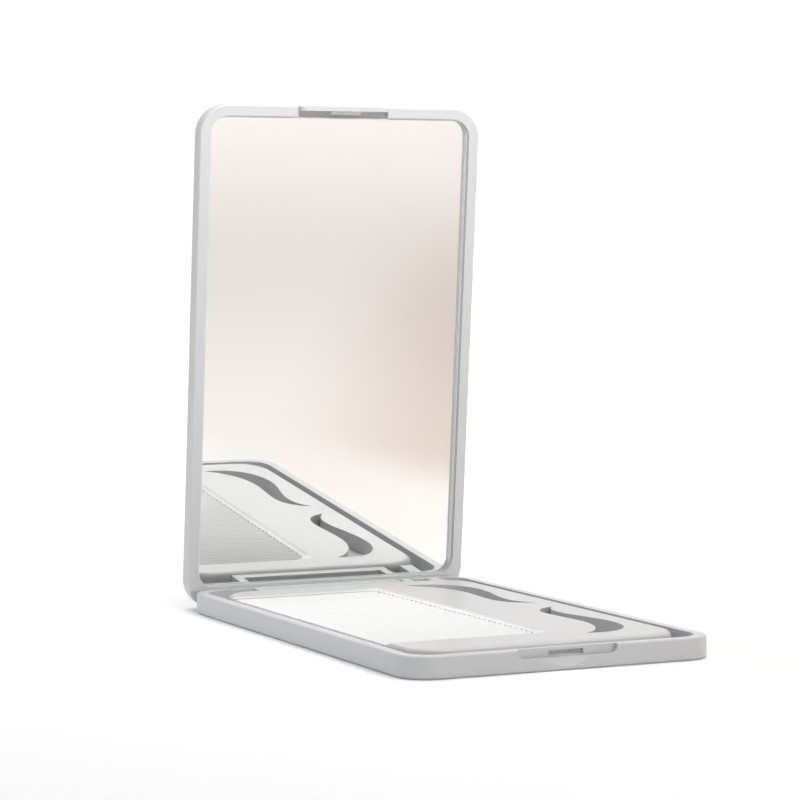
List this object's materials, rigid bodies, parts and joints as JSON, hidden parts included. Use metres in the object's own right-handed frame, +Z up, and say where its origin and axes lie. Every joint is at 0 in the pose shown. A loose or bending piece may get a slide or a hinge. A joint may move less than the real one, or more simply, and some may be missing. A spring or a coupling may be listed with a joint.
{
  "type": "folding compact mirror with comb",
  "caption": "Slim folding compact: a flat comb lies loose in a shallow tray, and a hinged lid holds a framed mirror and a latch tongue.",
  "frame": {"origin": "centre of the tray's underside", "axes": "+X along the hinge, +Y from the latch to the hinge, +Z up from the surface that the tray lies on"},
  "size_m": [0.062, 0.1058, 0.1021],
  "materials": {
    "case_plastic": "satin white moulded plastic",
    "comb_plastic": "satin white moulded plastic",
    "mirror": "clear glass silvered on its back",
    "adhesive": "double-sided foam adhesive tape",
    "steel": "plain bright steel wire"
  },
  "bodies": {
    "base": {"base_tray": "case_plastic", "hinge_pin": "steel"},
    "lid": {"lid_shell": "case_plastic", "mirror_glass": "mirror", "mirror_adhesive": "adhesive"},
    "comb": {"comb": "comb_plastic"}
  },
  "joints": [
    {"name": "lid_hinge", "type": "hinge", "parent": "base", "child": "lid", "pos_m": [0, 0.04895, 0.00205], "axis": [-1, 0, 0], "range_deg": [-85.2, 4.8]},
    {"name": "comb_lift", "type": "slide", "parent": "base", "child": "comb", "axis": [0, 0, 1], "range_m": [0, 0.03]}
  ]
}
